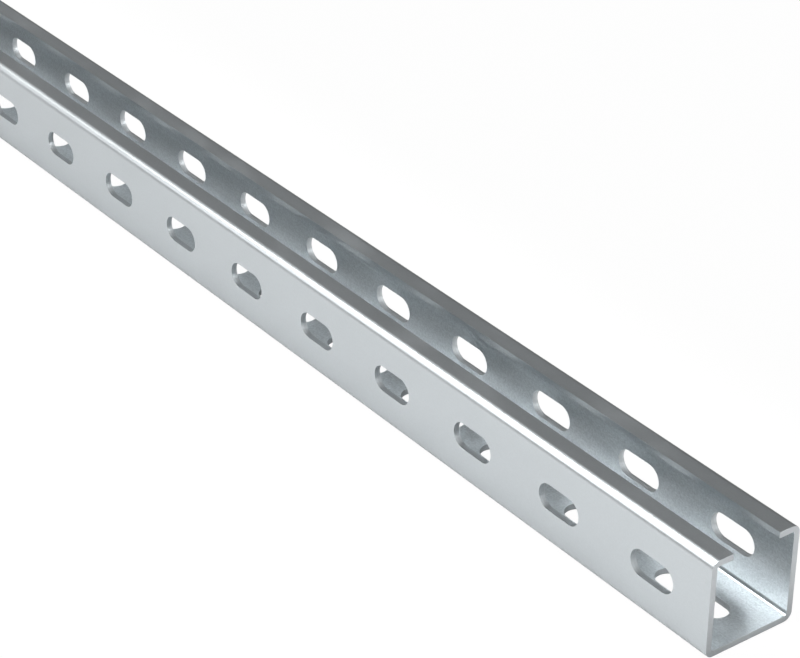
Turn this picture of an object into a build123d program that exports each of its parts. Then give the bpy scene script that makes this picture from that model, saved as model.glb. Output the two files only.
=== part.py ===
from build123d import *
import os

# Slotted mounting rail: one galvanised steel strip, bent four times into a C,
# with a row of long slots along each side wall and a row of longer ones along the base.
#
# Frame: +X along the rail, Y across it, +Z up. The rail lies on its base with the
# mouth upwards, and the origin is the middle of the underside.

# The strip and its bends
RAIL_LENGTH = 1000.0
RAIL_WIDTH = 40.0
RAIL_HEIGHT = 40.0
SHEET_THICKNESS = 2.5
BEND_INSIDE_RADIUS = 1.0
LIP_WIDTH = 9.5

# The strip's rolled edges along the mouth, and the deburred edges of the two sawn ends
LIP_EDGE_RADIUS = 0.4
CUT_END_BREAK = 0.3

# The slots, end to end and side to side
SLOT_PITCH = 50.0
FIRST_SLOT_FROM_END = 29.0
SIDE_SLOT_LENGTH = 22.0
SIDE_SLOT_WIDTH = 11.0
BASE_SLOT_LENGTH = 34.0
BASE_SLOT_WIDTH = 11.0
LEAST_METAL_AT_END = 3.0

# Sizes that follow from the ones above
BEND_OUTSIDE_RADIUS = BEND_INSIDE_RADIUS + SHEET_THICKNESS
MOUTH_WIDTH = RAIL_WIDTH - 2 * LIP_WIDTH
PUNCH_REACH = 2 * SHEET_THICKNESS

# Planes on the outer faces, each with its z axis pointing into the rail
BASE_FACE = Plane(origin=(0, 0, 0), x_dir=(1, 0, 0), z_dir=(0, 0, 1))
NEAR_WALL_FACE = Plane(
    origin=(0, -RAIL_WIDTH / 2, RAIL_HEIGHT / 2), x_dir=(1, 0, 0), z_dir=(0, 1, 0)
)
FAR_WALL_FACE = Plane(
    origin=(0, RAIL_WIDTH / 2, RAIL_HEIGHT / 2), x_dir=(1, 0, 0), z_dir=(0, -1, 0)
)


def rail_section() -> Sketch:
    """The C across the rail, in the plane of its cut end, standing on the base."""
    outside = RectangleRounded(RAIL_WIDTH, RAIL_HEIGHT, BEND_OUTSIDE_RADIUS)
    inside = RectangleRounded(
        RAIL_WIDTH - 2 * SHEET_THICKNESS,
        RAIL_HEIGHT - 2 * SHEET_THICKNESS,
        BEND_INSIDE_RADIUS,
    )
    mouth = Pos(0, RAIL_HEIGHT / 2) * Rectangle(MOUTH_WIDTH, 3 * SHEET_THICKNESS)
    section = outside - inside - mouth
    lip_corners = [
        corner
        for corner in section.vertices()
        if abs(abs(corner.X) - MOUTH_WIDTH / 2) < SHEET_THICKNESS / 100
    ]
    section = fillet(lip_corners, LIP_EDGE_RADIUS)
    return Pos(0, RAIL_HEIGHT / 2) * section


def bent_strip() -> Part:
    """The rail before punching, with its sawn ends deburred."""
    end_plane = Plane.YZ.offset(-RAIL_LENGTH / 2)
    strip = extrude(end_plane * rail_section(), RAIL_LENGTH)
    cut_ends = strip.faces().sort_by(Axis.X)
    end_edges = cut_ends[0].edges() + cut_ends[-1].edges()
    return chamfer(end_edges, CUT_END_BREAK)


def slot_centres() -> list[float]:
    """Places of the slots along the rail, from the end at +X to the other one."""
    half_longest = max(SIDE_SLOT_LENGTH, BASE_SLOT_LENGTH) / 2
    usable = RAIL_LENGTH - FIRST_SLOT_FROM_END - half_longest - LEAST_METAL_AT_END
    count = int(usable // SLOT_PITCH) + 1
    first = RAIL_LENGTH / 2 - FIRST_SLOT_FROM_END
    return [first - SLOT_PITCH * index for index in range(count)]


def slot_punch(length: float, width: float) -> Part:
    """A punch with round ends that passes through one wall, centred on its outer face."""
    return extrude(SlotOverall(length, width), PUNCH_REACH, both=True)


def slot_row(face: Plane, length: float, width: float) -> list[Part]:
    """One punch for each slot along an outer face, passing through that wall alone."""
    punch = slot_punch(length, width)
    return [face * Pos(place, 0, 0) * punch for place in slot_centres()]


def slotted_rail() -> Part:
    """The finished rail: one solid, open at both ends and along its mouth."""
    punches = slot_row(BASE_FACE, BASE_SLOT_LENGTH, BASE_SLOT_WIDTH)
    punches += slot_row(NEAR_WALL_FACE, SIDE_SLOT_LENGTH, SIDE_SLOT_WIDTH)
    punches += slot_row(FAR_WALL_FACE, SIDE_SLOT_LENGTH, SIDE_SLOT_WIDTH)
    return bent_strip() - punches


os.makedirs("parts", exist_ok=True)
export_step(slotted_rail(), "parts/slotted_rail.step")
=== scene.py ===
"""Slotted mounting rail: one galvanised steel C-rail, dressed, and the studio that shows it."""
import logging
import math
from dataclasses import dataclass, field
from enum import Enum
from functools import cached_property
from typing import Callable

import bmesh
import bpy
from mathutils import Matrix, Vector


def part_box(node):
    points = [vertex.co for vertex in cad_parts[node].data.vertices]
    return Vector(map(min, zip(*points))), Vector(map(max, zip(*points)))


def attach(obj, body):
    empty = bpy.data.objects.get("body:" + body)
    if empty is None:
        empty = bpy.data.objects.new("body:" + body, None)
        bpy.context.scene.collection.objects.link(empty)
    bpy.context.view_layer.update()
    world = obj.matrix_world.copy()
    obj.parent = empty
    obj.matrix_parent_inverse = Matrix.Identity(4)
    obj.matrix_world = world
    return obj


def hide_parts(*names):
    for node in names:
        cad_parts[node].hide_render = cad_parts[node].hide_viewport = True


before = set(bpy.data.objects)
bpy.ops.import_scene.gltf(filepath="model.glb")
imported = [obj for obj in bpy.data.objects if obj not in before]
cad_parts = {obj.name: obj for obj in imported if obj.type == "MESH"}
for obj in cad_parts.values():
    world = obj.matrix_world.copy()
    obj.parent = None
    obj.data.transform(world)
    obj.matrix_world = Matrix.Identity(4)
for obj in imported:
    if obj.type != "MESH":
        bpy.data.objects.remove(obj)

log = logging.getLogger("slotted_rail")

Piece = bpy.types.Object
Edge = bmesh.types.BMEdge
Face = bmesh.types.BMFace
Node = bpy.types.Node
NodeTree = bpy.types.NodeTree
Socket = bpy.types.NodeSocket
Inputs = dict[str | int, object]
Axes = tuple[float, float, float]
Colour = tuple[float, float, float, float]
Span = tuple[float, float]

MM = 0.001
TINY = 0.01 * MM
PARALLEL = 0.999
ROUND_PROFILE = 0.5
PATTERN_MIDDLE = 0.5
MIX_FIRST, MIX_SECOND, MIX_RESULT = 6, 7, 2  # the Mix node's colour sockets, by index
ALONG_RAIL = Vector((1, 0, 0))
UPWARDS = Vector((0, 0, 1))
RAIL_NODE = "slotted_rail"
PHOTO_WIDTH_PX = 800
SENSOR_WIDTH_MM = 36.0


class RailFace(Enum):
    """The three outer faces that carry a row of slots."""

    BASE = "base"
    NEAR_WALL = "near_wall"
    FAR_WALL = "far_wall"


class SteelArea(Enum):
    """The kinds of surface on the rail, each with the index of its material slot on the mesh."""

    ROLLED = 0
    SHEARED = 1
    SAWN = 2


class MeshPart(Enum):
    """The parts of a mesh that a test can pick out, each with the name of their list."""

    FACE = "faces"
    EDGE = "edges"


def deselect_everything() -> None:
    """Leave no object selected and none active in edit mode."""
    if bpy.context.object is not None and bpy.context.object.mode != "OBJECT":
        bpy.ops.object.mode_set(mode="OBJECT")
    bpy.ops.object.select_all(action="DESELECT")


def make_active(piece: Piece) -> None:
    """Select one object alone, for the next operators to act on.

    Args:
        piece: the object.
    """
    deselect_everything()
    piece.select_set(True)
    bpy.context.view_layer.objects.active = piece


def add_block(name: str, low: Vector, high: Vector) -> Piece:
    """Add a block between two corners, with its place in its mesh.

    Args:
        name: the new object's name.
        low: the lowest corner in metres.
        high: the highest corner in metres.

    Returns:
        The block, at the origin and unscaled.
    """
    deselect_everything()
    bpy.ops.mesh.primitive_cube_add(size=1.0, location=(low + high) / 2)
    block = bpy.context.object
    block.name = name
    block.scale = high - low
    bpy.ops.object.transform_apply(location=True, rotation=True, scale=True)
    return block


def select(piece: Piece, part: MeshPart, wanted: Callable[..., bool]) -> None:
    """Select the faces or the edges that a test names, in edit mode.

    Args:
        piece: the object in edit mode.
        part: whether faces or edges are selected.
        wanted: says of each of them whether it is selected.
    """
    bpy.ops.mesh.select_all(action="DESELECT")
    bpy.ops.mesh.select_mode(type=part.name)
    shape = bmesh.from_edit_mesh(piece.data)
    for element in getattr(shape, part.value):
        if wanted(element):
            element.select_set(True)
    bmesh.update_edit_mesh(piece.data)


def round_edges(radius: float, segments: int, clamp: bool = False) -> None:
    """Round the selected edges, in edit mode.

    Args:
        radius: how far the rounding reaches from an edge.
        segments: how many straight pieces make it.
        clamp: whether the roundings are kept from running into each other.
    """
    bpy.ops.mesh.bevel(
        offset=radius, segments=segments, profile=ROUND_PROFILE, affect="EDGES", clamp_overlap=clamp
    )


def runs_along(edge: Edge, direction: Vector) -> bool:
    """Whether an edge is parallel to a direction."""
    line = (edge.verts[1].co - edge.verts[0].co).normalized()
    return abs(line.dot(direction)) > PARALLEL


def looks_along(face: Face, direction: Vector) -> bool:
    """Whether a face looks straight in a direction."""
    return face.normal.dot(direction) > PARALLEL


def stands_across(face: Face) -> bool:
    """Whether a face stands square across the rail, looking either way along it."""
    return abs(face.normal.dot(ALONG_RAIL)) > PARALLEL


def direction(azimuth_deg: float, elevation_deg: float) -> Vector:
    """Turn two angles into a direction.

    Args:
        azimuth_deg: the angle seen from above, counted from +X towards +Y.
        elevation_deg: the angle over the table.

    Returns:
        The direction, with a length of 1.
    """
    azimuth, elevation = math.radians(azimuth_deg), math.radians(elevation_deg)
    flat = math.cos(elevation)
    return Vector((math.cos(azimuth) * flat, math.sin(azimuth) * flat, math.sin(elevation)))


def apply_modifier(piece: Piece, kind: str, **settings: object) -> None:
    """Add a modifier, set it and apply it at once.

    Args:
        piece: the object to change.
        kind: the modifier's type, as Blender names it.
        **settings: the modifier's properties.
    """
    make_active(piece)
    modifier = piece.modifiers.new(name=kind.lower(), type=kind)
    for key, value in settings.items():
        setattr(modifier, key, value)
    bpy.ops.object.modifier_apply(modifier=modifier.name)


@dataclass
class SlotRow:
    """One row of long round-ended slots in one face of the rail, as the punch makes it.

    Attributes:
        face: the outer face that the punch enters.
        length: a slot's length, end to end.
        width: a slot's width.
        arc_segments: how many straight pieces make a quarter of a round end.
        land_depth: how deep the clean cut reaches before the metal breaks away.
        break_flare: how much wider each side of the slot is where the metal broke away.
    """

    face: RailFace
    length: float
    width: float
    arc_segments: int = 12
    land_depth: float = 1.0 * MM
    break_flare: float = 0.05 * MM

    def make_punch(self, rail: "SlottedRail") -> Piece:
        """Model the punch as deep as its clean cut, then draw it on, wider, to the far side.

        Args:
            rail: the rail that is punched.

        Returns:
            The punch as an object of its own.
        """
        half_length, half_width = self.length / 2, self.width / 2
        start, end = rail.first_slot_x - half_length, rail.first_slot_x + half_length
        if self.face is RailFace.BASE:
            inward = UPWARDS
            low = Vector((start, -half_width, rail.low.z - rail.thickness))
            high = Vector((end, half_width, rail.low.z + self.land_depth))
        else:
            side = -1 if self.face is RailFace.NEAR_WALL else 1
            inward = Vector((0, -side, 0))
            outer_y = side * (rail.width / 2 + rail.thickness)
            inner_y = side * (rail.width / 2 - self.land_depth)
            middle_z = rail.low.z + rail.height / 2
            low = Vector((start, min(outer_y, inner_y), middle_z - half_width))
            high = Vector((end, max(outer_y, inner_y), middle_z + half_width))
        punch = add_block(f"punch_{self.face.value}", low, high)
        bpy.ops.object.mode_set(mode="EDIT")
        select(punch, MeshPart.EDGE, lambda edge: runs_along(edge, inward))
        round_edges(half_width, self.arc_segments)
        bpy.ops.mesh.select_all(action="SELECT")
        bpy.ops.mesh.remove_doubles(threshold=TINY)
        self._draw_out_break(punch, rail, inward)
        bpy.ops.mesh.select_all(action="SELECT")
        bpy.ops.mesh.normals_make_consistent(inside=False)
        bpy.ops.object.mode_set(mode="OBJECT")
        return punch

    def _draw_out_break(self, punch: Piece, rail: "SlottedRail", inward: Vector) -> None:
        """Extrude the leading face through the rest of the sheet, wider, and then past it.

        Args:
            punch: the punch in edit mode.
            rail: the rail that is punched.
            inward: the direction of the stroke.
        """
        broken = rail.thickness - self.land_depth
        longer, wider = (
            (size + 2 * self.break_flare) / size for size in (self.length, self.width)
        )
        select(punch, MeshPart.FACE, lambda face: looks_along(face, inward))
        bpy.ops.mesh.extrude_region_move(TRANSFORM_OT_translate={"value": inward * broken})
        leading = [v.co.copy() for v in bmesh.from_edit_mesh(punch.data).verts if v.select]
        bpy.ops.transform.resize(
            value=(longer, wider, wider), center_override=sum(leading, Vector()) / len(leading),
            constraint_axis=(True, inward.y == 0, inward.z == 0),
        )
        bpy.ops.mesh.extrude_region_move(
            TRANSFORM_OT_translate={"value": inward * rail.thickness}
        )


@dataclass
class SlottedRail:
    """The rail itself: one strip bent four times into a C and punched on three faces.

    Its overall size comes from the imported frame. The fields are the sizes that the frame's box
    doesn't give, in metres.

    Attributes:
        thickness: the strip's thickness.
        bend_outside_radius: the outside radius of the four bends.
        lip_width: a lip's width, with the bend that carries it.
        slot_pitch: how far it is from one slot's middle to the next.
        first_slot_from_end: how far the first slot's middle is from the end at +X.
        slot_roll_over: the rounding that the punch leaves on a slot's outer rim.
        slot_inner_rim: the rounding of its inner rim.
        cut_end_break: the rounding of the sawn ends' outlines.
        bend_segments: how many straight pieces make a bend.
        edge_segments: how many straight pieces make a small rounding.
        smooth_below_deg: the angle between two faces below which their shading runs on.
        rows: the rows of slots.
    """

    thickness: float = 2.5 * MM
    bend_outside_radius: float = 3.5 * MM
    lip_width: float = 9.5 * MM
    slot_pitch: float = 50.0 * MM
    first_slot_from_end: float = 29.0 * MM
    slot_roll_over: float = 0.04 * MM
    slot_inner_rim: float = 0.04 * MM
    cut_end_break: float = 0.12 * MM
    bend_segments: int = 10
    edge_segments: int = 3
    smooth_below_deg: float = 35.0
    rows: list[SlotRow] = field(default_factory=lambda: [
        SlotRow(RailFace.BASE, length=34.0 * MM, width=11.0 * MM),
        SlotRow(RailFace.NEAR_WALL, length=22.0 * MM, width=11.0 * MM),
        SlotRow(RailFace.FAR_WALL, length=22.0 * MM, width=11.0 * MM),
    ])

    def __post_init__(self) -> None:
        """Read the rail's overall size from the frame."""
        self.low, self.high = (Vector(corner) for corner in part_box(RAIL_NODE))
        self.width = self.high.y - self.low.y
        self.height = self.high.z - self.low.z

    @property
    def first_slot_x(self) -> float:
        """Where the first slot's middle is, counted from the end at +X."""
        return self.high.x - self.first_slot_from_end

    @property
    def first_cell_x(self) -> float:
        """Where the first pitch starts, half a pitch before the first slot's middle."""
        return self.first_slot_x + self.slot_pitch / 2

    @property
    def mouth_half_width(self) -> float:
        """Half the gap between the two lips."""
        return self.width / 2 - self.lip_width

    def bent_pitch(self) -> Piece:
        """Bend one pitch of strip: a block, its long edges rounded, opened and thickened.

        Returns:
            One pitch of plain C-section, closed at both cut faces.
        """
        low = Vector((self.first_cell_x - self.slot_pitch, self.low.y, self.low.z))
        high = Vector((self.first_cell_x, self.high.y, self.high.z))
        strip = add_block(f"{RAIL_NODE}_dressed", low, high)
        for area in SteelArea:
            strip.data.materials.append(bpy.data.materials.new(f"{area.name.lower()}_area"))
        bpy.ops.object.mode_set(mode="EDIT")
        select(strip, MeshPart.FACE, stands_across)
        bpy.ops.mesh.delete(type="ONLY_FACE")
        select(strip, MeshPart.EDGE, lambda edge: runs_along(edge, ALONG_RAIL))
        round_edges(self.bend_outside_radius, self.bend_segments)
        for side in (-1, 1):
            select(strip, MeshPart.FACE, lambda face: looks_along(face, UPWARDS))
            bpy.ops.mesh.bisect(
                plane_co=(0, side * self.mouth_half_width, self.high.z), plane_no=(0, 1, 0)
            )
        select(strip, MeshPart.FACE, self._spans_mouth)
        bpy.ops.mesh.delete(type="FACE")
        bpy.ops.object.mode_set(mode="OBJECT")
        apply_modifier(
            strip, "SOLIDIFY", thickness=self.thickness, offset=-1.0, use_even_offset=True,
            use_rim=True,
        )
        return strip

    def _spans_mouth(self, face: Face) -> bool:
        """Whether a face of the top lies between the lips."""
        off_middle = abs(face.calc_center_median().y)
        return looks_along(face, UPWARDS) and off_middle < self.mouth_half_width

    def punch(self, strip: Piece) -> None:
        """Punch every row's slot through the one pitch of strip.

        Args:
            strip: the pitch of plain section.
        """
        sheared = strip.data.materials[SteelArea.SHEARED.value]
        for row in self.rows:
            tool = row.make_punch(self)
            tool.data.materials.append(sheared)
            apply_modifier(
                strip, "BOOLEAN", operation="DIFFERENCE", solver="EXACT", object=tool,
                material_mode="TRANSFER",
            )
            bpy.data.objects.remove(tool)

    def break_rims(self, strip: Piece) -> None:
        """Round the slots' outer and inner rims; the strip's slit edges stay sharp.

        Args:
            strip: the punched pitch, closed at both cut faces, which are taken away.
        """
        make_active(strip)
        bpy.ops.object.mode_set(mode="EDIT")
        select(strip, MeshPart.FACE, self._closes_pitch)
        bpy.ops.mesh.delete(type="FACE")
        for radius, depth in ((self.slot_roll_over, 0.0), (self.slot_inner_rim, self.thickness)):
            select(strip, MeshPart.EDGE, lambda edge: self._is_rim(edge, depth))
            round_edges(radius, self.edge_segments, clamp=True)
        bpy.ops.object.mode_set(mode="OBJECT")

    def _closes_pitch(self, face: Face) -> bool:
        """Whether a face is one of the two cut faces of the first pitch."""
        from_slot = abs(face.calc_center_median().x - self.first_slot_x)
        return stands_across(face) and abs(from_slot - self.slot_pitch / 2) < TINY

    def _depth(self, point: Vector) -> float:
        """How deep a point of the walls or of the base lies under the outer faces."""
        return min(point.z - self.low.z, self.width / 2 - abs(point.y))

    def _is_rim(self, edge: Edge, depth: float) -> bool:
        """Whether an edge runs round a slot at a depth under the outer face.

        Args:
            edge: the edge to test.
            depth: the depth at which both its ends lie.

        Returns:
            True for an edge between a slot's side and a rolled face at that depth.
        """
        areas = {face.material_index for face in edge.link_faces}
        at_depth = all(abs(self._depth(vertex.co) - depth) < TINY for vertex in edge.verts)
        lip_foot = self.high.z - self.bend_outside_radius
        below_lips = all(vertex.co.z < lip_foot for vertex in edge.verts)
        bounds_cut = areas == {SteelArea.ROLLED.value, SteelArea.SHEARED.value}
        return at_depth and below_lips and bounds_cut

    def repeat_to_length(self, strip: Piece) -> None:
        """Carry the punched pitch on along the rail and saw it off at both ends.

        Args:
            strip: one punched pitch, open at both sides, which becomes the whole rail.
        """
        count = math.ceil((self.first_cell_x - self.low.x) / self.slot_pitch)
        apply_modifier(
            strip, "ARRAY", count=count, use_relative_offset=False, use_constant_offset=True,
            constant_offset_displace=(-self.slot_pitch, 0, 0), use_merge_vertices=True,
            merge_threshold=TINY,
        )
        make_active(strip)
        bpy.ops.object.mode_set(mode="EDIT")
        select(strip, MeshPart.EDGE, self._starts_first_pitch)
        bpy.ops.mesh.extrude_edges_move(
            TRANSFORM_OT_translate={"value": (self.high.x - self.first_cell_x, 0, 0)}
        )
        bpy.ops.mesh.edge_face_add()
        bpy.ops.mesh.select_all(action="SELECT")
        bpy.ops.mesh.bisect(
            plane_co=(self.low.x, 0, 0), plane_no=(-1, 0, 0), use_fill=True, clear_outer=True
        )
        bpy.ops.mesh.select_all(action="SELECT")
        bpy.ops.mesh.remove_doubles(threshold=TINY)
        bpy.ops.mesh.normals_make_consistent(inside=False)
        select(strip, MeshPart.FACE, self._is_sawn)
        strip.active_material_index = SteelArea.SAWN.value
        bpy.ops.object.material_slot_assign()
        select(strip, MeshPart.EDGE, self._outlines_end)
        round_edges(self.cut_end_break, self.edge_segments, clamp=True)
        bpy.ops.object.mode_set(mode="OBJECT")

    def _starts_first_pitch(self, edge: Edge) -> bool:
        """Whether an edge is part of the open outline where the first pitch starts."""
        return all(abs(vertex.co.x - self.first_cell_x) < TINY for vertex in edge.verts)

    def _is_sawn(self, face: Face) -> bool:
        """Whether a face is one of the rail's two sawn ends."""
        off_end = min(abs(face.calc_center_median().x - end.x) for end in (self.low, self.high))
        return stands_across(face) and off_end < TINY

    def _outlines_end(self, edge: Edge) -> bool:
        """Whether an edge is part of the outline of a sawn end."""
        areas = [face.material_index for face in edge.link_faces]
        return areas.count(SteelArea.SAWN.value) == 1

    def build(self) -> Piece:
        """Make the rail and set it in place of its plain solid.

        Returns:
            The finished piece.
        """
        rail = self.bent_pitch()
        self.punch(rail)
        self.break_rims(rail)
        self.repeat_to_length(rail)
        make_active(rail)
        bpy.ops.object.shade_smooth_by_angle(angle=math.radians(self.smooth_below_deg))
        apply_modifier(rail, "WEIGHTED_NORMAL", mode="FACE_AREA", keep_sharp=True)
        self.dress(rail)
        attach(rail, "root")
        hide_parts(RAIL_NODE)
        return rail

    def dress(self, rail: Piece) -> None:
        """Give each area of the rail its finish.

        Args:
            rail: the finished mesh, with its faces in their areas.
        """
        effects = Effects()
        finishes = {
            SteelArea.ROLLED: RolledZinc(),
            SteelArea.SHEARED: ShearedEdge(),
            SteelArea.SAWN: SawnEnd(),
        }
        for area, finish in finishes.items():
            rail.data.materials[area.value] = finish.material(effects)


class Wiring:
    """A node tree in the making, with short ways to add nodes and to join them."""

    def __init__(self, tree: NodeTree) -> None:
        """Start on the tree of a material, a world or a node group."""
        self.tree = tree

    def add(self, kind: str, inputs: Inputs | None = None, **settings: object) -> Node:
        """Add a node.

        Args:
            kind: the node's type, as Blender names it.
            inputs: what its inputs are fed with.
            **settings: the node's properties.

        Returns:
            The node.
        """
        node = self.tree.nodes.new(kind)
        for key, value in settings.items():
            setattr(node, key, value)
        self.feed(node, inputs or {})
        return node

    def feed(self, node: Node, inputs: Inputs) -> None:
        """Join a node's inputs to other nodes' outputs, or set them to plain values.

        Args:
            node: the node.
            inputs: an output, a number or a colour for each input, by its name or index.
        """
        for label, source in inputs.items():
            if isinstance(source, Socket):
                self.tree.links.new(source, node.inputs[label])
            else:
                node.inputs[label].default_value = source

    def sum_up(self, operation: str, *values: object, clamp: bool = False) -> Socket:
        """Work out one step of arithmetic.

        Args:
            operation: the step, as Blender's Math node names it.
            *values: outputs or numbers.
            clamp: whether the answer is kept between 0 and 1.

        Returns:
            The answer.
        """
        inputs = dict(enumerate(values))
        node = self.add("ShaderNodeMath", inputs, operation=operation, use_clamp=clamp)
        return node.outputs["Value"]

    def mix_up(self, first: Socket, first_share: float, second: Socket, second_share: float,
               clamp: bool = False) -> Socket:
        """Add two patterns, each times its share.

        Args:
            first: the first pattern.
            first_share: how much of it counts.
            second: the second pattern.
            second_share: how much of it counts.
            clamp: whether the answer is kept between 0 and 1.

        Returns:
            The answer.
        """
        return self.sum_up(
            "ADD", self.sum_up("MULTIPLY", first, first_share),
            self.sum_up("MULTIPLY", second, second_share), clamp=clamp,
        )

    def swing(self, pattern: Socket, share: float) -> Socket:
        """How far a pattern strays from its middle, times a share."""
        return self.sum_up("MULTIPLY", self.sum_up("SUBTRACT", pattern, PATTERN_MIDDLE), share)

    def ramp(self, value: Socket, start: float, end: float, low: float = 0.0,
             high: float = 1.0) -> Socket:
        """Turn a range of values softly into another.

        Args:
            value: what is turned.
            start: where the change begins.
            end: where it is complete.
            low: the answer at the start.
            high: the answer at the end.

        Returns:
            The answer.
        """
        return self.add("ShaderNodeMapRange", {
            "From Min": start, "From Max": end, "To Min": low, "To Max": high, "Value": value,
        }, interpolation_type="SMOOTHSTEP").outputs["Result"]

    def split(self, place: Socket) -> tuple[Socket, Socket, Socket]:
        """Part a place into its X, Y and Z."""
        return tuple(self.add("ShaderNodeSeparateXYZ", {0: place}).outputs)

    def join(self, *axes: Socket) -> Socket:
        """Make a place out of its X, Y and Z."""
        return self.add("ShaderNodeCombineXYZ", dict(enumerate(axes))).outputs[0]

    def stretch(self, place: Socket, scale: Axes, turn: Axes = (0.0, 0.0, 0.0)) -> Socket:
        """Scale a place by axis, after turning it.

        Args:
            place: the place on the piece.
            scale: how many pattern units there are to a metre, by axis.
            turn: the turn in degrees, by axis.

        Returns:
            The place that the pattern reads.
        """
        angles = [math.radians(angle) for angle in turn]
        turned = self.add(
            "ShaderNodeMapping", {"Vector": place, "Rotation": angles}, vector_type="POINT"
        )
        inputs = {0: turned.outputs["Vector"], 1: scale}
        return self.add("ShaderNodeVectorMath", inputs, operation="MULTIPLY").outputs["Vector"]

    def enlarge(self, vector: Socket, factor: Socket) -> Socket:
        """Scale a place or a colour by one factor all round."""
        inputs = {0: vector, "Scale": factor}
        return self.add("ShaderNodeVectorMath", inputs, operation="SCALE").outputs["Vector"]

    def noise(self, place: Socket, detail: float = 2.0, roughness: float = 0.5,
              scale: float = 1.0, output: str = "Fac") -> Socket:
        """Add soft noise.

        Args:
            place: where the noise is read.
            detail: how many finer layers it has.
            roughness: how strong the finer layers are.
            scale: how many waves it has to a pattern unit.
            output: the plain noise or the coloured one, by Blender's name.

        Returns:
            The noise, around a half.
        """
        return self.add("ShaderNodeTexNoise", {
            "Vector": place, "Scale": scale, "Detail": detail, "Roughness": roughness,
        }).outputs[output]

    def blend(self, share: Socket, first: Socket | Colour, second: Colour) -> Socket:
        """Blend two colours.

        Args:
            share: how much of the second there is.
            first: the first colour.
            second: the second colour.

        Returns:
            The blended colour.
        """
        inputs = {"Factor": share, MIX_FIRST: first, MIX_SECOND: second}
        node = self.add("ShaderNodeMix", inputs, data_type="RGBA", blend_type="MIX")
        return node.outputs[MIX_RESULT]


class Skin(Wiring):
    """A material in the making, which reads its patterns at the piece's own places."""

    def __init__(self, name: str) -> None:
        """Start on a material.

        Args:
            name: the material's name.
        """
        self.material = bpy.data.materials.new(name)
        self.material.use_nodes = True
        super().__init__(self.material.node_tree)
        self.shader = self.tree.nodes["Principled BSDF"]
        self.place = self.add("ShaderNodeTexCoord").outputs["Object"]

    @cached_property
    def axes(self) -> tuple[Socket, Socket, Socket]:
        """The place's X, Y and Z."""
        return self.split(self.place)

    @cached_property
    def side(self) -> Socket:
        """How far the place is from the rail's middle plane, to either side."""
        return self.sum_up("ABSOLUTE", self.axes[1])

    @cached_property
    def depths(self) -> tuple[Socket, Socket]:
        """How deep the place lies under the rail's outer faces.

        Returns:
            The depth under the nearer wall's face, and that under the lips' or the base's.
        """
        low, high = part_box(RAIL_NODE)
        height = self.axes[2]
        in_lip = self.sum_up("SUBTRACT", high[2], height)
        in_base = self.sum_up("SUBTRACT", height, low[2])
        in_wall = self.sum_up("SUBTRACT", high[1], self.side)
        return in_wall, self.sum_up("MINIMUM", in_lip, in_base)

    def effect(self, tree: NodeTree, numbers: Inputs | None = None) -> Node:
        """Place a shared effect in the material.

        Args:
            tree: the effect's group.
            numbers: the effect's own values, where they aren't the usual ones.

        Returns:
            The group's node.
        """
        inputs = {"Place": self.place, **(numbers or {})}
        return self.add("ShaderNodeGroup", inputs, node_tree=tree)


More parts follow.
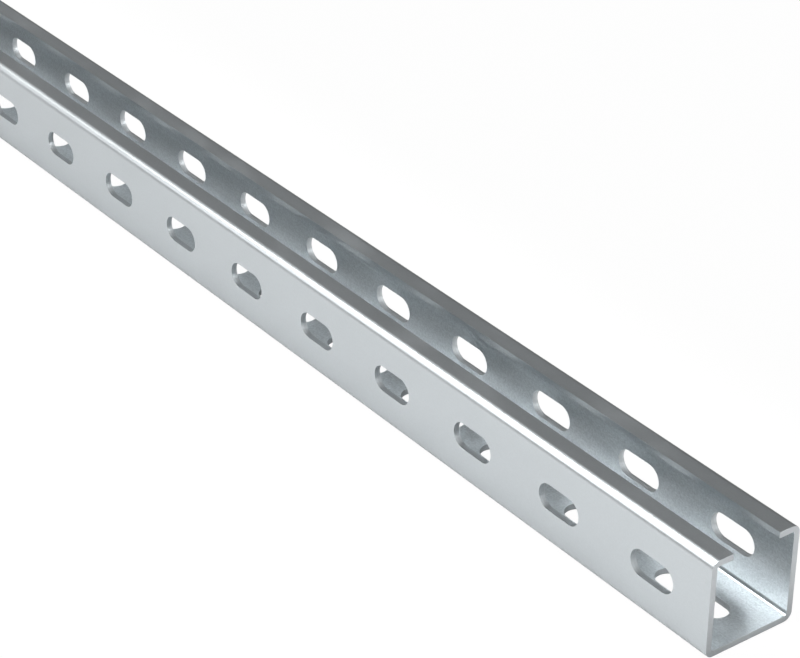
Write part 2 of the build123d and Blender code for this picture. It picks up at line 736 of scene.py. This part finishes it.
@dataclass
class Effects:
    """The effects that more than one finish uses, each a node group that is built once.

    Attributes:
        waver_scale: how many waves the crystals' borders have to a crystal.
        waver_reach: how far the borders stray, in crystals.
        border_softness: how softly one crystal passes into the next.
        crystal_share: how far the crystals move the tone.
        mottle_share: how far the fine mottle moves it.
        cloud_share: how far the wide clouds move it.
        clouds_per_metre: how narrow the clouds are, by axis.
        patches_per_metre: how narrow the dull patches are, by axis.
        patch_range: the noise between whose values a patch comes in.
        hairs_per_metre: how narrow the scuffs are, by axis.
        hair_range: the noise between whose values a scuff comes in.
        hair_slants_deg: the two slants that the scuffs have.
        built: the groups that there are, by name.
    """

    waver_scale: float = 1.3
    waver_reach: float = 0.9
    border_softness: float = 0.35
    crystal_share: float = 0.55
    mottle_share: float = 0.9
    cloud_share: float = 1.0
    clouds_per_metre: Axes = (18.0, 55.0, 55.0)
    patches_per_metre: Axes = (26.0, 60.0, 60.0)
    patch_range: Span = (0.50, 0.72)
    hairs_per_metre: Axes = (90.0, 2400.0, 2400.0)
    hair_range: Span = (0.66, 0.76)
    hair_slants_deg: Span = (24.0, -38.0)
    built: dict[str, NodeTree] = field(default_factory=dict)

    def _group(self, name: str, numbers: dict[str, float],
               fill: Callable[[Wiring, Node], Inputs]) -> NodeTree:
        """Build a group, or give back the one that there is.

        Args:
            name: the effect's name.
            numbers: its inputs beside the place, with their usual values.
            fill: wires the group on from its input node and says what its outputs put out.

        Returns:
            The group.
        """
        if name not in self.built:
            tree = bpy.data.node_groups.new(name, "ShaderNodeTree")
            faces = tree.interface
            faces.new_socket("Place", in_out="INPUT", socket_type="NodeSocketVector")
            for label, usual in numbers.items():
                socket = faces.new_socket(label, in_out="INPUT", socket_type="NodeSocketFloat")
                socket.default_value = usual
            wiring = Wiring(tree)
            outputs = fill(wiring, wiring.add("NodeGroupInput"))
            for label in outputs:
                faces.new_socket(label, in_out="OUTPUT", socket_type="NodeSocketFloat")
            wiring.add("NodeGroupOutput", outputs)
            self.built[name] = tree
        return self.built[name]

    def zinc_bloom(self) -> NodeTree:
        """The crystals and clouds of a zinc coat, as a tone and as a relief."""
        return self._group("zinc_bloom", {"Crystal Size": 1.2 * MM}, self._lay_crystals)

    def _lay_crystals(self, wiring: Wiring, entry: Node) -> Inputs:
        """Lay crystals with wavering borders under a fine mottle and wide clouds.

        Args:
            wiring: the group in the making.
            entry: its input node.

        Returns:
            What its outputs put out.
        """
        place, size = entry.outputs["Place"], entry.outputs["Crystal Size"]
        fine = wiring.enlarge(place, wiring.sum_up("DIVIDE", 1.0, size))
        waver = wiring.noise(fine, detail=1.0, scale=self.waver_scale, output="Color")
        moved = wiring.add(
            "ShaderNodeVectorMath", {0: waver, 1: (self.waver_reach,) * 3, 2: fine},
            operation="MULTIPLY_ADD",
        )
        crystals = wiring.add("ShaderNodeTexVoronoi", {
            "Vector": moved.outputs[0], "Scale": 1.0, "Smoothness": self.border_softness,
            "Randomness": 1.0,
        }, feature="SMOOTH_F1")
        grey = wiring.add("ShaderNodeSeparateColor", {"Color": crystals.outputs["Color"]})
        mottle = wiring.noise(fine, roughness=0.6)
        clouds = wiring.noise(wiring.stretch(place, self.clouds_per_metre))
        small = wiring.sum_up(
            "ADD", wiring.swing(grey.outputs["Red"], self.crystal_share),
            wiring.swing(mottle, self.mottle_share),
        )
        all_sizes = wiring.sum_up("ADD", small, wiring.swing(clouds, self.cloud_share))
        return {
            "Tone": wiring.sum_up("ADD", all_sizes, PATTERN_MIDDLE, clamp=True),
            "Relief": wiring.sum_up("ADD", small, PATTERN_MIDDLE),
        }

    def rolling_lines(self) -> NodeTree:
        """The faint lines that the rolls leave along the strip."""
        numbers = {"Line Length": 120.0 * MM, "Line Width": 0.9 * MM}
        return self._group("rolling_lines", numbers, self._draw_lines)

    def _draw_lines(self, wiring: Wiring, entry: Node) -> Inputs:
        """Read noise that is long along the rail and narrow across it.

        Args:
            wiring: the group in the making.
            entry: its input node.

        Returns:
            What its output puts out.
        """
        length, width = entry.outputs["Line Length"], entry.outputs["Line Width"]
        sizes = zip(wiring.split(entry.outputs["Place"]), (length, width, width))
        drawn_out = wiring.join(*(wiring.sum_up("DIVIDE", *pair) for pair in sizes))
        return {"Lines": wiring.noise(drawn_out, detail=3.0, roughness=0.6)}

    def handling_marks(self) -> NodeTree:
        """Sparse hairline scuffs and dull patches from stacking and carrying."""
        return self._group("handling_marks", {"Amount": 1.0}, self._scatter_scuffs)

    def _scatter_scuffs(self, wiring: Wiring, entry: Node) -> Inputs:
        """Keep the peaks of two slanting sets of fine lines, and only inside some patches.

        Args:
            wiring: the group in the making.
            entry: its input node.

        Returns:
            What its outputs put out.
        """
        place = entry.outputs["Place"]
        spots = wiring.noise(wiring.stretch(place, self.patches_per_metre), detail=1.0)
        patches = wiring.ramp(spots, *self.patch_range)
        peaks = []
        for slant in self.hair_slants_deg:
            slanted = wiring.stretch(place, self.hairs_per_metre, (0.0, slant, slant))
            peaks.append(wiring.ramp(wiring.noise(slanted, detail=1.0), *self.hair_range))
        share = wiring.sum_up("MULTIPLY", wiring.sum_up("MAXIMUM", *peaks), patches)
        scuffs = wiring.sum_up("MULTIPLY", share, entry.outputs["Amount"])
        return {"Scuffs": scuffs, "Dull Patches": patches}


@dataclass(frozen=True)
class Finish:
    """What the three finishes of the rail have in common.

    Attributes:
        name: the material's name.
        dull: the colour of the darkest zinc.
        bright: the colour of the lightest zinc.
        roughness: how matt the surface is on the whole.
        roughness_play: how far the roughness strays to either side.
        crystal_size: how wide a zinc crystal is.
        relief: the height of the bumps in metres.
    """

    name: str
    dull: Colour
    bright: Colour
    roughness: float
    roughness_play: float
    crystal_size: float
    relief: float

    def start(self, effects: Effects) -> tuple[Skin, Socket, Socket]:
        """Begin a material with the crystals of its zinc.

        Args:
            effects: the shared effects.

        Returns:
            The material in the making, and the crystals' tone and relief.
        """
        skin = Skin(self.name)
        bloom = skin.effect(effects.zinc_bloom(), {"Crystal Size": self.crystal_size})
        return skin, bloom.outputs["Tone"], bloom.outputs["Relief"]

    def finish(self, skin: Skin, colour: Socket, matt: Socket,
               height: Socket) -> bpy.types.Material:
        """Bring colour, mattness and height to the shader, as bare metal.

        Args:
            skin: the material in the making.
            colour: the metal's colour.
            matt: from 0, smoothest, to 1, most matt.
            height: the height of the relief, from 0 to 1.

        Returns:
            The finished material.
        """
        least, most = self.roughness - self.roughness_play, self.roughness + self.roughness_play
        bumps = {"Strength": 1.0, "Distance": self.relief, "Height": height}
        skin.feed(skin.shader, {
            "Metallic": 1.0,
            "Base Color": colour,
            "Roughness": skin.ramp(matt, 0.0, 1.0, least, most),
            "Normal": skin.add("ShaderNodeBump", bumps).outputs["Normal"],
        })
        return skin.material


@dataclass(frozen=True)
class RolledZinc(Finish):
    """The zinc coat on the rolled faces, plainer outside than inside, with painted light and shade
    inside the channel.

    Attributes:
        outer_contrast: the share of the crystals' contrast that the smoother outer faces show.
        outer_relief: the share of the relief that they show.
        inside_from: the depths between which outer zinc turns into inner zinc.
        line_contrast: how far the rolling lines move the tone.
        line_relief: how much they add to the relief.
        scuff_gleam: how much brighter a scuff is.
        matt_from_tone: how much of the mattness follows the tone.
        matt_from_patches: how much of it follows the dull patches.
        painted_wall_shade: how much darker the walls' inner faces below the lips are painted, a
            painted shade.
        wall_shade_foot: the heights between which that painted shade comes in.
        wall_shade_top: the heights between which it fades.
        painted_base_light: how much brighter the base is painted beside its inside bends, a painted
            light.
        base_light_side: the distances from the middle plane between which that painted light comes
            in.
        base_light_top: the heights between which it fades.
        painted_crease_shade: how much of its brightness the zinc keeps at the foot of the walls, a
            painted shade.
        crease_shade_height: how far over the base's inner face the painted shade's middle lies.
        crease_shade_reach: how far the painted shade reaches from its middle.
        crease_shade_core: the share of that reach in which it is full.
    """

    name: str = "rolled_zinc"
    dull: Colour = (0.55, 0.585, 0.603, 1.0)
    bright: Colour = (0.77, 0.816, 0.841, 1.0)
    roughness: float = 0.33
    roughness_play: float = 0.04
    crystal_size: float = 0.65 * MM
    relief: float = 0.050 * MM
    outer_contrast: float = 0.15
    outer_relief: float = 0.3
    inside_from: Span = (1.2 * MM, 1.6 * MM)
    line_contrast: float = 0.5
    line_relief: float = 0.3
    scuff_gleam: float = 0.5
    matt_from_tone: float = 0.6
    matt_from_patches: float = 0.4
    # painted shade on the inner walls and painted light on the base beside its inside bends
    painted_wall_shade: float = 0.055
    wall_shade_foot: Span = (3.8 * MM, 5.2 * MM)
    wall_shade_top: Span = (25.0 * MM, 29.0 * MM)
    painted_base_light: float = 0.12
    base_light_side: Span = (10.5 * MM, 14.0 * MM)
    base_light_top: Span = (2.8 * MM, 3.3 * MM)
    # painted shade along the inside bends
    painted_crease_shade: float = 0.55
    crease_shade_height: float = 1.3 * MM
    crease_shade_reach: float = 0.8 * MM
    crease_shade_core: float = 0.3

    def material(self, effects: Effects) -> bpy.types.Material:
        """Build the material.

        Args:
            effects: the shared effects.

        Returns:
            The material.
        """
        skin, bloom, bumps = self.start(effects)
        lines = skin.effect(effects.rolling_lines()).outputs["Lines"]
        scuffs, patches = skin.effect(effects.handling_marks()).outputs
        lined = skin.sum_up("ADD", bloom, skin.swing(lines, self.line_contrast))
        scuffed = skin.mix_up(lined, 1.0, scuffs, self.scuff_gleam, clamp=True)
        matt = skin.mix_up(bloom, self.matt_from_tone, patches, self.matt_from_patches, clamp=True)
        height = skin.mix_up(bumps, 1.0, lines, self.line_relief)
        depth = skin.sum_up("MINIMUM", *skin.depths)
        contrast = skin.ramp(depth, *self.inside_from, self.outer_contrast, 1.0)
        off_middle = skin.sum_up("SUBTRACT", scuffed, PATTERN_MIDDLE)
        tone = skin.sum_up("MULTIPLY_ADD", off_middle, contrast, PATTERN_MIDDLE)
        clean = skin.blend(tone, self.dull, self.bright)
        # painted light and shade inside the channel
        channel_lit_and_shaded = self._paint_channel_light_and_shade(skin, clean, skin.ramp(depth, *self.inside_from))
        share = skin.ramp(depth, *self.inside_from, self.outer_relief, 1.0)
        height_shown = skin.sum_up("MULTIPLY", height, share)
        return self.finish(skin, self._paint_crease_shade(skin, channel_lit_and_shaded), matt, height_shown)

    def _paint_channel_light_and_shade(self, skin: Skin, colour: Socket, inside: Socket) -> Socket:
        """Paint shade on the walls' inner faces and paint light on the base beside its bends.

        Args:
            skin: the material in the making.
            colour: the clean zinc's colour.
            inside: 1 on the inner faces and 0 on the outer ones.

        Returns:
            The zinc's colour with the painted light and shade.
        """
        height = skin.axes[2]
        # painted light: the base is made brighter beside its inside bends
        base_lit = skin.sum_up(
            "MULTIPLY", skin.ramp(skin.side, *self.base_light_side, 0.0, self.painted_base_light),
            skin.ramp(height, *self.base_light_top, 1.0, 0.0),
        )
        # painted shade: the walls' inner faces are made darker between these heights
        walls_shaded = skin.sum_up(
            "MULTIPLY", skin.ramp(height, *self.wall_shade_foot, 0.0, self.painted_wall_shade),
            skin.ramp(height, *self.wall_shade_top, 1.0, 0.0),
        )
        change = skin.sum_up("SUBTRACT", base_lit, walls_shaded)
        return skin.enlarge(colour, skin.sum_up("MULTIPLY_ADD", inside, change, 1.0))

    def _paint_crease_shade(self, skin: Skin, colour: Socket) -> Socket:
        """Paint shade on the feet of the two walls over the inside bends.

        Args:
            skin: the material in the making.
            colour: the zinc's colour with its painted light and shade.

        Returns:
            The colour with the painted crease shade on it.
        """
        # painted shade: a darker line along the inside bends, where the walls meet the base
        low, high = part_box(RAIL_NODE)
        middle_y = high[1] - SlottedRail.thickness
        middle_z = low[2] + SlottedRail.thickness + self.crease_shade_height
        across = skin.sum_up("SUBTRACT", skin.side, middle_y)
        above = skin.sum_up("SUBTRACT", skin.axes[2], middle_z)
        squares = [skin.sum_up("POWER", distance, 2.0) for distance in (across, above)]
        away = skin.sum_up("SQRT", skin.sum_up("ADD", *squares))
        share = skin.ramp(away, self.crease_shade_core * self.crease_shade_reach, self.crease_shade_reach, 1.0, 0.0)
        crease_shaded = tuple(self.painted_crease_shade * part for part in self.dull[:3]) + (1.0,)
        return skin.blend(share, colour, crease_shaded)


@dataclass(frozen=True)
class ShearedEdge(Finish):
    """The punched sides of the slots: a clean band, then torn metal streaked by the stroke.

    Attributes:
        clean_depth: how deep under the outer face the clean band reaches.
        tear_range: the shares of that depth between which it turns into torn metal.
        clean_tone: the clean band's darkest tone.
        clean_play: how far the crystals lighten it.
        torn_tone: the torn metal's lightest tone.
        streak_width: how wide a streak is.
        streak_squeeze: how much the streaks' pattern is squeezed along the stroke.
        clean_streaks: how much of the streaks' relief the clean band shows.
        matt_from_tear: how much of the mattness comes with the torn metal.
    """

    name: str = "sheared_edge"
    dull: Colour = (0.50, 0.53, 0.55, 1.0)
    bright: Colour = (0.66, 0.70, 0.72, 1.0)
    roughness: float = 0.42
    roughness_play: float = 0.08
    crystal_size: float = 0.8 * MM
    relief: float = 0.012 * MM
    clean_depth: float = 1.0 * MM
    tear_range: Span = (0.85, 1.25)
    clean_tone: float = 0.4
    clean_play: float = 0.5
    torn_tone: float = 0.7
    streak_width: float = 0.35 * MM
    streak_squeeze: float = 0.12
    clean_streaks: float = 0.2
    matt_from_tear: float = 0.7

    def material(self, effects: Effects) -> bpy.types.Material:
        """Build the material.

        Args:
            effects: the shared effects.

        Returns:
            The material.
        """
        skin, bloom, _ = self.start(effects)
        depth = skin.sum_up("MINIMUM", *skin.depths)
        torn = skin.ramp(depth, *(self.clean_depth * share for share in self.tear_range))
        streaks = self._streaks(skin)
        clean = skin.sum_up("MULTIPLY_ADD", bloom, self.clean_play, self.clean_tone)
        drop = skin.sum_up("SUBTRACT", skin.sum_up("MULTIPLY", streaks, self.torn_tone), clean)
        tone = skin.sum_up("ADD", clean, skin.sum_up("MULTIPLY", torn, drop), clamp=True)
        share = skin.sum_up("MULTIPLY_ADD", torn, 1.0 - self.clean_streaks, self.clean_streaks)
        height = skin.sum_up("MULTIPLY", streaks, share)
        matt = skin.mix_up(torn, self.matt_from_tear, streaks, 1.0 - self.matt_from_tear)
        return self.finish(skin, skin.blend(tone, self.dull, self.bright), matt, height)

    def _streaks(self, skin: Skin) -> Socket:
        """The streaks along the stroke, which runs along Y in the walls and along Z in the base.

        Args:
            skin: the material in the making.

        Returns:
            The streaks, around a half.
        """
        x, y, z = skin.axes
        on_wall = skin.sum_up("LESS_THAN", *skin.depths)
        squeeze_y = skin.ramp(on_wall, 0.0, 1.0, 1.0, self.streak_squeeze)
        squeeze_z = skin.ramp(on_wall, 0.0, 1.0, self.streak_squeeze, 1.0)
        squeezed = skin.join(
            x, skin.sum_up("MULTIPLY", y, squeeze_y), skin.sum_up("MULTIPLY", z, squeeze_z)
        )
        return skin.noise(skin.stretch(squeezed, (1.0 / self.streak_width,) * 3))


@dataclass(frozen=True)
class SawnEnd(Finish):
    """The rail's two cut ends, with the fine lines of the saw across them.

    Attributes:
        line_pitch: how far it is from one saw line to the next.
        line_slant_deg: how far the lines lean.
        waves_per_metre: how often a line changes along X and Y.
        line_share: how much of the tone the saw lines give.
        crystal_relief: how much the crystals add to the relief.
    """

    name: str = "sawn_end"
    dull: Colour = (0.53, 0.557, 0.575, 1.0)
    bright: Colour = (0.62, 0.647, 0.667, 1.0)
    roughness: float = 0.38
    roughness_play: float = 0.06
    crystal_size: float = 0.7 * MM
    relief: float = 0.008 * MM
    line_pitch: float = 0.45 * MM
    line_slant_deg: float = 12.0
    waves_per_metre: Span = (40.0, 60.0)
    line_share: float = 0.5
    crystal_relief: float = 0.3

    def material(self, effects: Effects) -> bpy.types.Material:
        """Build the material.

        Args:
            effects: the shared effects.

        Returns:
            The material.
        """
        skin, bloom, bumps = self.start(effects)
        scale = (*self.waves_per_metre, 1.0 / self.line_pitch)
        slanted = skin.stretch(skin.place, scale, (self.line_slant_deg, 0.0, 0.0))
        lines = skin.noise(slanted, roughness=0.6)
        tone = skin.mix_up(bloom, 1.0 - self.line_share, lines, self.line_share, clamp=True)
        height = skin.mix_up(lines, 1.0, bumps, self.crystal_relief)
        return self.finish(skin, skin.blend(tone, self.dull, self.bright), lines, height)


@dataclass(frozen=True)
class SoftLight:
    """One round soft light, far away.

    Attributes:
        azimuth_deg: its direction seen from above, counted from +X towards +Y.
        elevation_deg: its height over the table.
        core_deg: how far its full brightness reaches from its middle.
        rim_deg: where it has faded out.
        strength: its brightness.
    """

    azimuth_deg: float
    elevation_deg: float
    core_deg: float
    rim_deg: float
    strength: float


@dataclass
class Studio:
    """A white table, a soft light tent and the camera of the photograph.

    Attributes:
        azimuth_deg: the camera's direction seen from above, counted from +X towards +Y.
        elevation_deg: its height over the table, as an angle.
        roll_deg: its turn round its own axis.
        camera_place: where it stands, in metres.
        focal_px: its focal length in pixels of the photograph.
        clip: the nearest and the farthest that it sees, in metres.
        table_size: the table's width.
        table_matt: the table's roughness.
        table_glow: the brightness of the table and the tent as the camera sees them.
        glow_share: how much of the table that the camera sees is that glow.
        table_white: the table's whiteness away from the rail.
        table_in_painted_foot_shade: its whiteness beside the rail, a painted shade.
        table_in_painted_under_shadow: its whiteness under the rail, a painted shadow.
        foot_shade_width: how far from the rail the painted shade reaches before the table has its
            full whiteness.
        under_shade_width: how far in under the rail the painted shadow reaches its darkest.
        table_in_painted_left_shade: the share of its whiteness that is left at the rail's far end,
            a painted shade.
        left_shade_length: how much of the rail, from there on, has no more than that.
        table_in_painted_back_shade: its whiteness behind the rail, a painted shade.
        painted_back_shade_range: how far behind the rail's middle that painted shade comes in.
        tent_level: the brightness of the tent between the lights.
        lights: the lights in the tent.
    """

    azimuth_deg: float = -36.65
    elevation_deg: float = 30.385
    roll_deg: float = 0.351
    camera_place: Axes = (1004.94 * MM, -525.05 * MM, 543.41 * MM)
    focal_px: float = 2616.6
    clip: Span = (0.01, 200.0)
    table_size: float = 80.0
    table_matt: float = 0.9
    table_glow: float = 1.02
    glow_share: float = 0.96
    table_white: float = 0.72
    # painted shade beside the rail and painted shadow under it
    table_in_painted_foot_shade: float = 0.69
    table_in_painted_under_shadow: float = 0.55
    foot_shade_width: float = 35.0 * MM
    under_shade_width: float = 5.0 * MM
    # painted shade towards the rail's far end and behind it
    table_in_painted_left_shade: float = 0.86
    left_shade_length: float = 0.3
    table_in_painted_back_shade: float = 0.18
    painted_back_shade_range: Span = (0.07, 0.14)
    tent_level: float = 0.15
    lights: list[SoftLight] = field(default_factory=lambda: [
        SoftLight(azimuth_deg=215.0, elevation_deg=55.0, core_deg=1.0, rim_deg=17.5, strength=13.0),
        SoftLight(azimuth_deg=229.0, elevation_deg=25.0, core_deg=1.0, rim_deg=17.0, strength=2.5),
        SoftLight(azimuth_deg=45.0, elevation_deg=48.0, core_deg=6.0, rim_deg=40.0, strength=0.65),
        SoftLight(azimuth_deg=5.0, elevation_deg=22.0, core_deg=3.0, rim_deg=22.0, strength=6.7),
        SoftLight(azimuth_deg=162.0, elevation_deg=72.0, core_deg=1.0, rim_deg=17.0, strength=6.5),
        SoftLight(azimuth_deg=184.0, elevation_deg=5.0, core_deg=2.0, rim_deg=32.0, strength=1.4),
    ])

    def camera(self) -> None:
        """Set the camera where the photograph was taken from."""
        lens = bpy.data.cameras.new("photo_camera")
        lens.sensor_width = SENSOR_WIDTH_MM
        lens.lens = self.focal_px * SENSOR_WIDTH_MM / PHOTO_WIDTH_PX
        lens.clip_start, lens.clip_end = self.clip
        camera = bpy.data.objects.new("photo_camera", lens)
        bpy.context.scene.collection.objects.link(camera)
        back = direction(self.azimuth_deg, self.elevation_deg)
        right = UPWARDS.cross(back).normalized()
        level = Matrix((right, back.cross(right), back)).transposed().to_4x4()
        roll = Matrix.Rotation(math.radians(self.roll_deg), 4, "Z")
        camera.matrix_world = Matrix.Translation(self.camera_place) @ level @ roll
        bpy.context.scene.camera = camera

    def table(self) -> None:
        """Lay the white table under the rail."""
        deselect_everything()
        floor_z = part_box(RAIL_NODE)[0][2]
        bpy.ops.mesh.primitive_plane_add(size=self.table_size, location=(0, 0, floor_z))
        table = bpy.context.object
        table.name = "white_table"
        skin = Skin("white_table")
        skin.feed(skin.shader, {
            "Base Color": self._whiteness_with_painted_shade(skin), "Roughness": self.table_matt,
            "Specular IOR Level": 0.0,
        })
        glow = skin.add("ShaderNodeEmission", {"Strength": self.table_glow})
        to_camera = skin.add("ShaderNodeLightPath").outputs["Is Camera Ray"]
        mix = skin.add("ShaderNodeMixShader", {
            "Fac": skin.sum_up("MULTIPLY", to_camera, self.glow_share),
            1: skin.shader.outputs[0], 2: glow.outputs[0],
        })
        skin.feed(skin.tree.nodes["Material Output"], {"Surface": mix.outputs[0]})
        table.data.materials.append(skin.material)

    def _whiteness_with_painted_shade(self, skin: Skin) -> Socket:
        """Paint shade on the table round, under and behind the rail, as the rail mirrors it.

        Args:
            skin: the table's material in the making.

        Returns:
            How white the table is, with its painted shade.
        """
        low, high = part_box(RAIL_NODE)
        x, y, _ = skin.axes
        off_side = skin.sum_up("SUBTRACT", skin.side, high[1])
        off_end = skin.sum_up("SUBTRACT", skin.sum_up("ABSOLUTE", x), high[0])
        off_rail = skin.sum_up("MAXIMUM", off_side, off_end)
        # painted shade on the table beside the rail
        near = skin.ramp(off_rail, 0.0, self.foot_shade_width, self.table_in_painted_foot_shade, self.table_white)
        # painted shade on the table towards the rail's far end
        left_end = low[0] + self.left_shade_length
        left = skin.ramp(x, left_end, high[0], self.table_in_painted_left_shade, 1.0)
        # painted shade on the table behind the rail
        behind = skin.ramp(y, *self.painted_back_shade_range, 1.0, self.table_in_painted_back_shade / self.table_white)
        # painted shadow on the table under the rail
        darkest = self.table_in_painted_under_shadow / self.table_in_painted_foot_shade
        under = skin.ramp(off_rail, -self.under_shade_width, 0.0, darkest, 1.0)
        shade = skin.sum_up("MULTIPLY", skin.sum_up("MULTIPLY", left, behind), under)
        return skin.sum_up("MULTIPLY", near, shade)

    def light_tent(self) -> None:
        """Light the scene from a grey tent with soft lights, white where the camera sees it."""
        world = bpy.data.worlds.new("light_tent")
        bpy.context.scene.world = world
        world.use_nodes = True
        wiring = Wiring(world.node_tree)
        looked_at = wiring.add("ShaderNodeTexCoord").outputs["Generated"]
        total: object = self.tent_level
        for light in self.lights:
            inputs = {0: looked_at, 1: direction(light.azimuth_deg, light.elevation_deg)}
            towards = wiring.add("ShaderNodeVectorMath", inputs, operation="DOT_PRODUCT")
            rim, core = (math.cos(math.radians(edge)) for edge in (light.rim_deg, light.core_deg))
            glow = wiring.ramp(towards.outputs["Value"], rim, core, 0.0, light.strength)
            total = wiring.sum_up("ADD", total, glow)
        seen = wiring.add("ShaderNodeLightPath").outputs["Is Camera Ray"]
        white = wiring.sum_up("MULTIPLY", seen, wiring.sum_up("SUBTRACT", self.table_glow, total))
        wiring.feed(wiring.tree.nodes["Background"], {
            "Color": (1.0, 1.0, 1.0, 1.0), "Strength": wiring.sum_up("ADD", total, white),
        })

    def set_up(self) -> None:
        """Place everything that isn't the rail."""
        bpy.context.scene.view_settings.view_transform = "Standard"
        self.camera()
        self.table()
        self.light_tent()


def main() -> None:
    """Build the rail and its studio, and log the rail's face count."""
    logging.basicConfig(level=logging.INFO, format="%(name)s: %(message)s")
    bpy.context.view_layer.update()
    rail = SlottedRail().build()
    log.info("%s: %d faces", rail.name, len(rail.data.polygons))
    Studio().set_up()
    log.info("studio ready")


if __name__ == "__main__":
    main()
